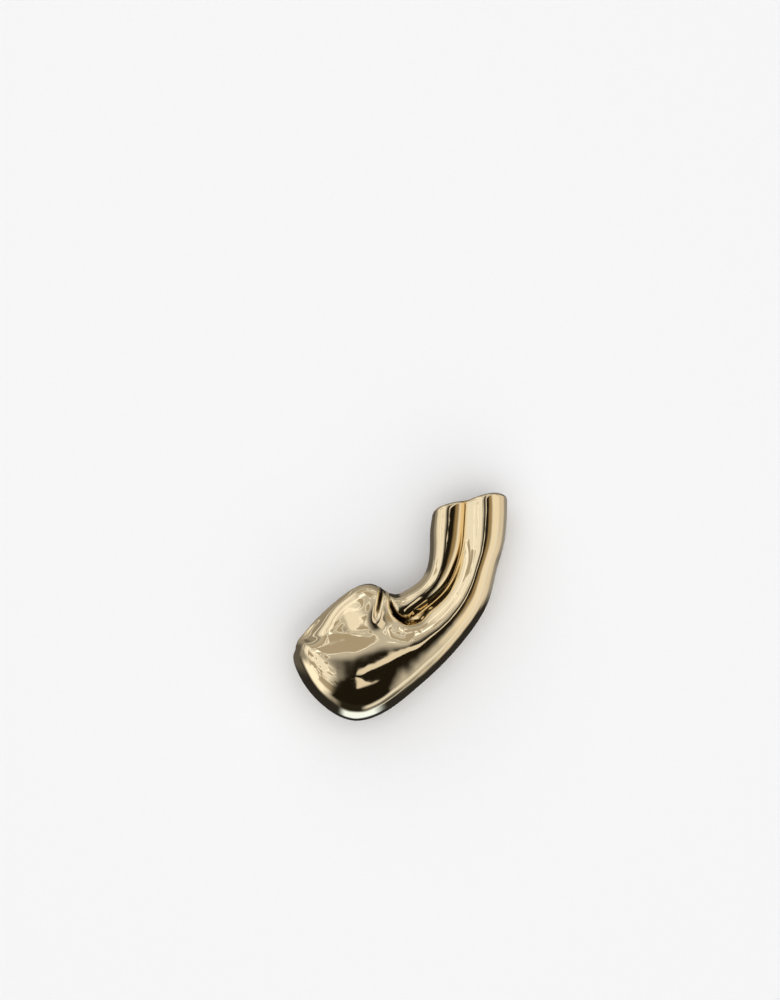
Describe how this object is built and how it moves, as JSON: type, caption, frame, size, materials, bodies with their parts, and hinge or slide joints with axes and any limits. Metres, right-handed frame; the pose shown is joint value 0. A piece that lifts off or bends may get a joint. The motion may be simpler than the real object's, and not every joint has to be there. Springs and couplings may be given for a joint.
{
  "type": "ear cuff",
  "caption": "Sculptural one-piece ear cuff: a puffed pouch for the earlobe that flows into two tube-like ridges along the ear's edge, open at the back where the ear slides in.",
  "frame": {"origin": "on the flat outer face of the back leaf, under the middle of the cuff's outline", "axes": "+Z from the back leaf to the front that is seen when worn, +Y up the ear, +X away from the face on the wearer's left ear"},
  "size_m": [0.031, 0.0332, 0.0124],
  "materials": {
    "polished_gold": "mirror-polished pale yellow gold plate over cast brass"
  },
  "bodies": {
    "root": {"cuff_shell": "polished_gold"}
  },
  "joints": []
}
